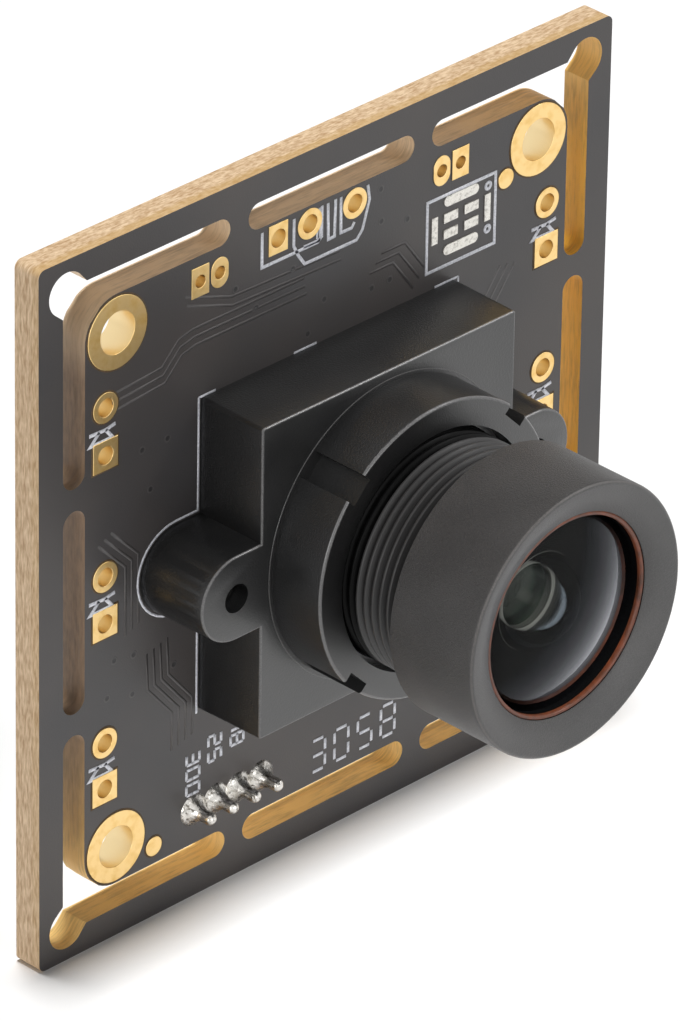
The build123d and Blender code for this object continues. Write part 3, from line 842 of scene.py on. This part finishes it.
frontGlassShape = {
    "lift": 0.02,
    "rimAhead": 15.2,
    "curve": 11.0,
    "domeSteps": 14,
    "cupRim": 2.5,
    "cupDepth": 2.0,
    "cupSteps": 18,
}


def makeFrontGlass():
    size = frontGlassShape
    low, high = corners("front_glass")
    rim = (high.z - low.z) / 2
    seat = -high.y + size["lift"]  # just clear of the spacer behind it
    cupCurve = (size["cupRim"] ** 2 + size["cupDepth"] ** 2) / (2 * size["cupDepth"])
    front = dome(size["curve"], rim, size["rimAhead"], size["domeSteps"])
    cup = dome(cupCurve, size["cupRim"], seat, size["cupSteps"])
    shape = turned(cup[::-1] + [(rim, seat)] + front, closed=False)
    for face in shape.faces:  # the flat rim at the back is blackened
        face.material_index = 0 if face.normal.y < 0.1 else 2 if face.normal.y > 0.999 else 1
    finishPiece("front_glass_body", onLensAxis(shape), ["glass", "cupGlass", "blacked"], "lens_barrel",
                ["front_glass"], sharp=30)


lipShape = {  # each lip: inner radius, outer radius, distance in front of the board
    "lips": ((1.66, 1.88, 13.33), (2.42, 2.5, 13.9)),
    "thickness": 0.03,
}


def makeLips():  # thin pale rings seen through the front glass: painted highlights on the turned edges there
    shape = bmesh.new()
    for inner, outer, back in lipShape["lips"]:
        front = back + lipShape["thickness"]
        addShape(shape, turned([(inner, back), (outer, back), (outer, front), (inner, front)]))
    finishPiece("lip_highlight_rings", onLensAxis(shape), ["lip"], "lens_barrel", sharp=60)


sealShape = {"width": 0.2, "edge": 0.05, "shown": 15.66, "front": 15.93}


def makeSeal():
    low, high = corners("seal_ring")
    outer = (high.z - low.z) / 2
    inner = outer - sealShape["width"]
    back, edge, shown, front = -high.y, sealShape["edge"], sealShape["shown"], sealShape["front"]
    shape = turned([(inner, back), (outer, back), (outer, front - edge), (outer - edge, front),
                    (inner + edge, front), (inner, front - edge), (inner, shown)])
    for face in shape.faces:  # only the front lip, from shown forward, has the orange colour; the part further back is black
        face.material_index = int(-face.calc_center_median().y < shown)
    finishPiece("seal_ring_body", onLensAxis(shape), ["seal", "blacked"], "lens_barrel", ["seal_ring"],
                sharp=60)


makeBarrel()
makeThread()
makeFrontGlass()
makeSeal()
makeLips()
print("barrel turned")

holderShape = {
    "rounding": 0.1,
    "rimAhead": 6.9,
    "front": 4.1,
    "back": 0.3,
    "outside": 7.7,
    "earRadius": 2.35,
    "earHole": 1.0,
    "corner": math.radians(50),
    "seam": 7.9,
    "seamOutline": ((0, -0.05), (0.1, -0.05), (0.08, 0.02), (0.03, 0.02)),
}


holeX = corners("lens_holder")[1].x - holderShape["earRadius"]  # the screw holes lie this far to each side


def makeHolder():
    size = holderShape
    shape = copied("lens_holder")
    chosen = []
    for edge in shape.edges:  # the outer edges of block and ears, not the ones on the board
        spots = [vertex.co for vertex in edge.verts]
        ahead = [-spot.y for spot in spots]
        middle = (spots[0] + spots[1]) / 2
        nearHole = math.hypot(abs(middle.x) - holeX, middle.z - lensHeight) < size["earHole"]
        onBlock = size["back"] <= max(ahead) <= size["front"] + 0.02
        outside = max(abs(middle.x), abs(middle.z - lensHeight)) > size["outside"]
        if nearHole or not onBlock or not outside or len(edge.link_faces) != 2 or not edge.is_convex:
            continue
        if edge.calc_face_angle() > size["corner"]:
            chosen.append(edge)
    for face in shape.faces:  # the collar's rounded rim gets the same painted edge highlight as the other edges
        tilt = -face.normal.y
        face.material_index = int(0.2 < tilt < 0.98 and -face.calc_center_median().y > size["rimAhead"])
    # the bevelled edges take the painted edge highlight
    highlightedEdges = bmesh.ops.bevel(shape, geom=chosen, offset=size["rounding"], offset_type="OFFSET", segments=3,
                             profile=0.5, affect="EDGES", clamp_overlap=False, material=-1)
    for face in highlightedEdges["faces"]:
        face.material_index = 1
    finishPiece("holder_body", shape, ["holder", "holderEdge"], "board", ["lens_holder"],
                sharp=25)
    # the seam ring takes the painted edge highlight too
    outline = [(size["seam"] + across, size["front"] + ahead) for across, ahead in size["seamOutline"]]
    finishPiece("collar_seam", onLensAxis(turned(outline, 160)), ["holderEdge"], "board",
                sharp=60)


boardShape = {"rim": 18.4, "slotTrim": 0.05, "slotInside": 15.7, "slotOutside": 17.75}


def makeBoard():  # mask on the faces, sheared edges outside, routed walls in the slots and holes
    shape = copied("circuit_board")
    shape.normal_update()
    moves = {}
    for face in shape.faces:
        if abs(face.normal.y) > 0.5:
            continue
        middle = face.calc_center_median()
        reach = max(abs(middle.x), abs(middle.z))
        face.material_index = 1 if reach > boardShape["rim"] else 2
        if boardShape["slotInside"] < reach < boardShape["slotOutside"]:
            for vertex in face.verts:
                moves.setdefault(vertex, []).append(face.normal.copy())
    for vertex, ways in moves.items():
        way = sum(ways, Vector())
        vertex.co += way / max(way.length, 0.001) * boardShape["slotTrim"]
    return finishPiece("board_body", shape, ["board", "cutEdge", "routed"], "board", ["circuit_board"],
                       sharp=30)


board = makeBoard()
makeHolder()
print("holder moulded")

bevelledNodes = {  # node: (piece, finish, slot, rounding in mm)
    "holder_screws": ("screws", "screw", "screw_steel", 0.06),
    "connector_housing": ("connector_shell", "connector", "connector_white", 0.1),
    "connector_pins": ("connector_pin_row", "lead", "tin", 0.05),
    "video_processor": ("processor_case", "chip", "chip_black", 0.06),
    "memory_chip": ("memory_case", "chip", "chip_black", 0.06),
    "voltage_regulators": ("regulator_cases", "chip", "chip_black", 0.05),
    "crystal_can": ("crystal_lid", "crystal", "crystal_steel", 0.12),
    "power_inductor": ("inductor_core", "ferrite", "ferrite_grey", 0.12),
    "capacitor_bodies": ("capacitors", "capacitor", "capacitor_tan", 0.05),
    "resistor_bodies": ("resistors", "resistor", "resistor_black", 0.03),
    "chip_terminals": ("terminal_caps", "tin", "tin", 0.05),
    "mounting_pads": ("mounting_rings", "gold", "gold_plate", 0.04),
    "header_pads": ("header_lands", "gold", "gold_plate", 0.03),
    "probe_pads": ("probe_lands", "gold", "gold_plate", 0.03),
    "link_pads": ("link_lands", "gold", "gold_plate", 0.03),
    "alignment_marks": ("alignment_dots", "gold", "gold_plate", 0.03),
}
for node, (name, finish, slot, rounding) in bevelledNodes.items():
    finishPiece(name, copied(node), [finish], "board", [node], rounding=rounding)

keptNodes = {
    "tinned_pads": "tinnedPad", "image_sensor": "sensor", "sensor_glass": "glass",
    "front_spacer": "spacer", "element_cell": "cell", "second_element": "greenGlass",
    "aperture_stop": "inner", "mid_spacer": "inner", "third_element": "glass", "rear_spacer": "inner",
    "rear_element": "glass", "rear_retainer": "inner", "infrared_filter": "filter",
    "processor_leads": "lead", "memory_leads": "lead", "regulator_leads": "lead",
}
for node, finish in keptNodes.items():
    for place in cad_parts[node].material_slots:
        place.material = finishes[finish]
print("carried pieces finished")

solderShape = {
    "footRadius": 0.86,
    "neckRadius": 0.3,
    "height": 1.0,
    "sag": 2.4,
    "steps": 10,
    "tipRadius": 0.33,
    "tipAhead": 0.12,
    "tipFrom": 0.62,
    "tipSteps": 8,
}


def makeSolder():  # a hollow-sided cone round each pin, and the pin's round tip
    size = solderShape
    outline = [(size["footRadius"], -0.02)]
    for i in range(size["steps"]):
        up = i / size["steps"]
        radius = size["neckRadius"] + (size["footRadius"] - size["neckRadius"]) * (1 - up) ** size["sag"]
        outline.append((radius, up * size["height"]))
    for i in range(size["tipSteps"] + 1):
        a = math.pi * (size["tipFrom"] + (1 - size["tipFrom"]) * i / size["tipSteps"])
        ahead = size["height"] + size["tipAhead"] - size["tipRadius"] * math.cos(a)
        outline.append((size["tipRadius"] * math.sin(a), ahead))
    shape = bmesh.new()
    for low, high in islands("solder_joints"):
        joint = turned(outline, steps=32, closed=False)
        place = ((low.x + high.x) / 2, 0, (low.z + high.z) / 2)
        bmesh.ops.translate(joint, verts=joint.verts[:], vec=place)
        addShape(shape, joint)
    finishPiece("solder_cones", shape, ["tin"], "board", ["solder_joints"], sharp=60)


makeSolder()
print("pins soldered")

inkLine = {"width": 0.17, "height": 0.02, "sunk": 0.01}


def drawnLines(name, lines, finish, width=inkLine["width"], height=inkLine["height"]):
    shape = bmesh.new()  # walls on the middle lines, which Solidify then thickens evenly
    for line in lines:
        ring = line[0] == line[-1]
        points = [shape.verts.new((x, inkLine["sunk"], z)) for x, z in (line[:-1] if ring else line)]
        if ring:
            points.append(points[0])
        for first, second in zip(points, points[1:]):
            shape.edges.new((first, second))
    walls = bmesh.ops.extrude_edge_only(shape, edges=shape.edges[:])
    tops = [part for part in walls["geom"] if isinstance(part, bmesh.types.BMVert)]
    bmesh.ops.translate(shape, verts=tops, vec=(0, -height - inkLine["sunk"], 0))
    piece = finishPiece(name, shape, [finish], "board", sharp=30)
    thicken = piece.modifiers.new("line width", "SOLIDIFY")
    thicken.thickness = width * mm
    thicken.offset = 0
    thicken.use_even_offset = True


def arc(x, z, radius, start, end, steps):
    angles = [math.radians(start + (end - start) * i / steps) for i in range(steps + 1)]
    return [(x + radius * math.cos(a), z + radius * math.sin(a)) for a in angles]


def circle(x, z, radius, steps):
    line = arc(x, z, radius, 0, 360, steps)
    return line[:-1] + line[:1]


def box(left, right, bottom, top):
    return [(left, bottom), (right, bottom), (right, top), (left, top), (left, bottom)]


def moved(line, x, z):
    return [(px + x, pz + z) for px, pz in line]


digitBars = {
    "0": "abcdef", "1": "bc", "2": "abged", "3": "abgcd", "4": "fgbc",
    "5": "afgcd", "6": "afgedc", "7": "abc", "8": "abcdefg", "9": "abcdfg",
}


def digitLines(text, x, z, width, height, pitch, gap):  # figures built from separate bars
    bars = {
        "a": ((0, 1), (1, 1)), "b": ((1, 1), (1, 0.5)), "c": ((1, 0.5), (1, 0)), "d": ((1, 0), (0, 0)),
        "e": ((0, 0), (0, 0.5)), "f": ((0, 0.5), (0, 1)), "g": ((0, 0.5), (1, 0.5)),
    }
    lines = []
    for place, figure in enumerate(text):
        for bar in digitBars[figure]:
            (ax, az), (bx, bz) = [(px * width, pz * height) for px, pz in bars[bar]]
            long = math.hypot(bx - ax, bz - az)
            cut = gap / long
            ends = [(ax + (bx - ax) * t, az + (bz - az) * t) for t in (cut, 1 - cut)]
            lines.append(moved(ends, x + place * pitch, z))
    return lines


outlineShape = {
    "width": 0.12,
    "gap": 0.13,
    "topGap": 0.06,
    "earGap": 0.17,
    "bodyHalf": 8.55,
    "topDashes": ((0, 1.1), (6.28, 7.78), (15.76, 17.36)),
}


def holderOutline():  # printed frame that shows where the holder sits
    size = outlineShape
    half = size["bodyHalf"] + size["gap"]
    top = lensHeight + size["bodyHalf"] + size["topGap"]
    bottom = lensHeight - half
    ear = holderShape["earRadius"] + size["earGap"]
    shoulder = [(half, top), (half, lensHeight + ear), (holeX, lensHeight + ear)]
    lines = []
    for side in (-1, 1):
        line = shoulder + arc(holeX, lensHeight, ear, 80, -80, 16)
        lines.append([(side * x, z) for x, z in line])
        lines.append([(side * half, lensHeight - ear), (side * half, bottom)])
    return lines + [[(start - half, top), (end - half, top)] for start, end in size["topDashes"]]


def connectorPrint():  # frames and strokes round the three test pads
    return [
        [(-4.61, 15.75), (-4.61, 13.9), (-0.9, 13.9), (-0.66, 14.1), (-0.66, 15.75)],
        [(-1.85, 13.98), (-0.84, 13.98), (-0.8, 15.7)],
        [(-0.94, 14.1), (-0.94, 14.6)],
        [(-2.51, 15.72), (-2.51, 14.27), (-2.2, 13.66), (-1.77, 13.06), (1.68, 13.06), (2.07, 13.48),
         (2.52, 14.94), (2.39, 15.75)],
        [(-0.26, 15.74), (-0.22, 13.79), (0.2, 13.81), (0.24, 15.77)],
        [(0.6, 15.75), (0.62, 13.84), (1.34, 13.83), (1.52, 14.09)],
    ]


placePrint = {
    "left": 0.3,
    "right": 0.35,
    "top": 0.1,
    "bottom": 0.55,
    "dotRadius": 0.17,
    "dotIn": 0.5,
    "dotDown": 0.45,
    "dotUp": 0.4,
}


def emptyPlacePrint():  # frame and two small rings round the tinned pads
    size = placePrint
    low, high = corners("tinned_pads")
    right = high.x + size["right"]
    lines = [box(low.x - size["left"], right, low.z - size["bottom"], high.z + size["top"])]
    for z in (high.z - size["dotDown"], low.z + size["dotUp"]):
        lines.append(circle(right - size["dotIn"], z, size["dotRadius"], 16))
    return lines


figurePrint = {
    "figures": ("3058", -0.85, -15.45),
    "size": {"width": 0.95, "height": 1.75, "pitch": 1.6, "gap": 0.14},
    "pinFigures": (("300", -9.3, -10.95), ("25", -7.85, -10.5), ("18", -6.35, -10.2), ("60", -4.85, -9.95)),
    "pinSize": {"width": 0.55, "height": 0.85, "pitch": 0.85, "gap": 0.02},
    "line": 0.16,
}


def figureLines():
    lines = digitLines(*figurePrint["figures"], **figurePrint["size"])
    for text, x, z in figurePrint["pinFigures"]:  # turned a quarter, each line above its pin
        for line in digitLines(text, -z, x, **figurePrint["pinSize"]):
            lines.append([(across, -along) for along, across in line])
    return lines


padPlaces = []  # middle and half width of each pin pad: squares and rounds take turns
for low, high in islands("header_pads"):
    padPlaces.append(((low.x + high.x) / 2, (low.z + high.z) / 2, (high.x - low.x) / 2))
diodeShape = {
    "bar": [(-1.03, 1.38), (-0.38, 1.36), (0.02, 1.35), (0.65, 1.47)],
    "body": [(-0.38, 1.36), (-0.95, 0.8), (0.47, 0.8), (0.02, 1.35)],
    "line": 0.19,
}


def diodeLines():  # one sign above each square pad
    return [moved(diodeShape[part], x, z) for x, z, _ in padPlaces[::2] for part in ("bar", "body")]


openingShape = {"clear": 0.04, "line": 0.1, "height": 0.008}


def padOpenings():  # dark gaps between the mask and each pad
    clear = openingShape["clear"]
    lines = []
    for low, high in islands("mounting_pads") + islands("alignment_marks"):
        radius = (high.x - low.x) / 2 + clear
        lines.append(circle((low.x + high.x) / 2, (low.z + high.z) / 2, radius, 48))
    for index, (x, z, half) in enumerate(padPlaces):
        half += clear
        lines.append(circle(x, z, half, 32) if index % 2 else box(x - half, x + half, z - half, z + half))
    return lines


drawnLines("print_outline", holderOutline(), "print", outlineShape["width"])
drawnLines("print_frames", connectorPrint() + emptyPlacePrint(), "print")
drawnLines("print_figures", figureLines(), "print", figurePrint["line"])
drawnLines("print_diodes", diodeLines(), "print", diodeShape["line"])
drawnLines("pad_openings", padOpenings(), "opening", openingShape["line"], openingShape["height"])

traceBundles = [  # route, how many side by side, step between them
    ([(-14.2, 9.9), (-10.9, 10.1), (-9.8, 11.2), (-8.9, 11.4), (-1.6, 11.4)], 3, (-0.1, 0.45)),
    ([(-9.6, 14.2), (-6.6, 13.1), (0.6, 12.9)], 2, (0.1, -0.5)),
    ([(5.6, 9.0), (4.2, 10.9), (2.6, 10.9)], 3, (0.4, 0.4)),
    ([(11.6, 8.0), (8.9, 4.5)], 3, (0.5, -0.1)),
    ([(-12.0, -4.15), (-11.9, -6.2), (-10.3, -8.1), (-10.3, -10.2)], 4, (0.45, 0.12)),
    ([(-15.2, 3.0), (-13.4, 1.2), (-13.4, -2.6)], 3, (0.42, 0.2)),
    ([(10.4, -11.0), (12.6, -8.8), (12.6, -5.0)], 3, (0.42, -0.1)),
]
traceLines = [[(x + side[0] * i, z + side[1] * i) for x, z in route]
              for route, count, side in traceBundles for i in range(count)]
traceShape = {"width": 0.16, "height": 0.003}
drawnLines("masked_traces", traceLines, "trace", traceShape["width"], traceShape["height"])

viaPlaces = [
    (-14.12, -3.64), (-12.84, -3.83), (-10.19, -5.45), (-14.59, -5.52), (-12.92, -5.96), (-10.7, 7.09),
    (-12.35, 7.08), (-11.79, 4.77), (-0.42, 10.65), (-1.5, 9.19), (-2.55, 13.07), (-4.97, 11.89),
    (-6.34, 13.39), (3.27, 15.2), (3.34, 13.45), (5.11, 12.92), (2.76, 10.04), (3.98, 10.06),
]
viaShape = {"rim": 0.26, "slope": 0.08, "pit": 0.13, "wall": 0.04, "height": 0.01}


def makeVias():
    size = viaShape
    outline = [
        (0, 0.002),
        (size["pit"], 0.004),
        (size["pit"] + size["wall"], size["height"]),
        (size["rim"] - size["slope"], size["height"]),
        (size["rim"], -0.01),
        (0, -0.01),
    ]
    shape = bmesh.new()
    for x, z in viaPlaces:
        via = turned(outline, 20, False)
        bmesh.ops.translate(via, verts=via.verts[:], vec=(x, 0, z))
        for face in via.faces:
            far = math.hypot(face.calc_center_median().x - x, face.calc_center_median().z - z)
            face.material_index = int(far < size["pit"])
        addShape(shape, via)
    finishPiece("masked_vias", shape, ["trace", "drill"], "board", sharp=60)


makeVias()
print("board printed")

ambient = 0.06
lampSetup = {  # name: azimuth, elevation, distance and size in m, share; share 1 lights a white card to white
    "overhead": (180, 87.1, 1.5, 0.136, 0.94),
    "front": (-4, 3, 1.2, 0.8, 0.38),
    "side": (-78, 5, 1.2, 0.5, 0.24),
    "rim": (52, 37, 1.0, 0.16, 0.14),
}


def addLamp(name, azimuth, elevation, distance, size, share):
    data = bpy.data.lights.new(name, "AREA")
    data.size = size
    data.energy = share * math.pi * math.pi * distance ** 2
    lamp = bpy.data.objects.new(name, data)
    bpy.context.scene.collection.objects.link(lamp)
    a, e = math.radians(azimuth), math.radians(elevation)
    away = Vector((math.sin(a) * math.cos(e), -math.cos(a) * math.cos(e), math.sin(e)))
    lamp.location = away * distance
    lamp.rotation_mode = "QUATERNION"
    lamp.rotation_quaternion = away.to_track_quat("Z", "Y")
    return lamp


def setLamps():
    lamps = {name: addLamp(name, *values) for name, values in lampSetup.items()}
    lamps["overhead"].visible_glossy = False
    shading = bpy.data.collections.new("shades the floor")  # only the board stops the overhead lamp
    shading.objects.link(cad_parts["circuit_board"])
    shading.objects.link(board)
    lamps["overhead"].light_linking.blocker_collection = shading


def setWorld():
    world = bpy.data.worlds.new("white studio")
    bpy.context.scene.world = world
    world.use_nodes = True
    tree = world.node_tree
    tree.nodes.clear()
    start = Signal(tree)
    ray = start.node("LightPath").socket.node.outputs
    seen = Signal(tree, ray["Is Camera Ray"]) + Signal(tree, ray["Is Glossy Ray"])
    seen = seen + Signal(tree, ray["Is Transmission Ray"])
    soft = start.node("Background", None, {"Color": (1, 1, 1, 1), "Strength": ambient})
    white = start.node("Background", None, {"Color": (1, 1, 1, 1), "Strength": 1.0})
    start.node("OutputWorld", None, {0: start.node("MixShader", None, {0: seen, 1: soft, 2: white})})


floorSetup = {"half": 1.5, "tone": (0.97, 0.97, 0.97, 1), "roughness": 0.9}


def setFloor():
    shape = bmesh.new()
    bmesh.ops.create_grid(shape, x_segments=4, y_segments=4, size=floorSetup["half"])
    bmesh.ops.translate(shape, verts=shape.verts[:], vec=(0, 0, cadBox[0].z))
    mesh = bpy.data.meshes.new("floor")
    shape.to_mesh(mesh)
    shape.free()
    floor = bpy.data.objects.new("floor", mesh)
    bpy.context.scene.collection.objects.link(floor)
    paper = bpy.data.materials.new("white_paper")
    paper.use_nodes = True
    shader = paper.node_tree.nodes["Principled BSDF"]
    shader.inputs["Base Color"].default_value = floorSetup["tone"]
    shader.inputs["Roughness"].default_value = floorSetup["roughness"]
    shader.inputs["Specular IOR Level"].default_value = 0.0
    mesh.materials.append(paper)


viewPoint = {
    "azimuth": -45.369,
    "elevation": 29.853,
    "roll": 0.937,
    "distance": 468.94,
    "aside": 0.604,
    "above": -0.909,
    "focalPixels": 9790.5,
    "frameHeight": 1021,
    "sensor": 36.0,
}


def setCamera():
    size = viewPoint
    a, e, roll = (math.radians(size[key]) for key in ("azimuth", "elevation", "roll"))
    back = Vector((math.sin(a) * math.cos(e), -math.cos(a) * math.cos(e), math.sin(e)))
    level = Vector((math.cos(a), math.sin(a), 0))
    up = back.cross(level)
    right = level * math.cos(roll) + up * math.sin(roll)
    top = up * math.cos(roll) - level * math.sin(roll)
    data = bpy.data.cameras.new("camera")
    data.sensor_width = size["sensor"]
    data.lens = size["focalPixels"] / size["frameHeight"] * size["sensor"]
    data.clip_start, data.clip_end = 0.01, 10
    camera = bpy.data.objects.new("camera", data)
    bpy.context.scene.collection.objects.link(camera)
    place = (back * size["distance"] + right * size["aside"] + top * size["above"]) * mm
    camera.matrix_world = Matrix.Translation(place) @ Matrix((right, top, back)).transposed().to_4x4()
    bpy.context.scene.camera = camera


setLamps()
setWorld()
setFloor()
setCamera()
bpy.context.scene.view_settings.view_transform = "Standard"
print("studio set")
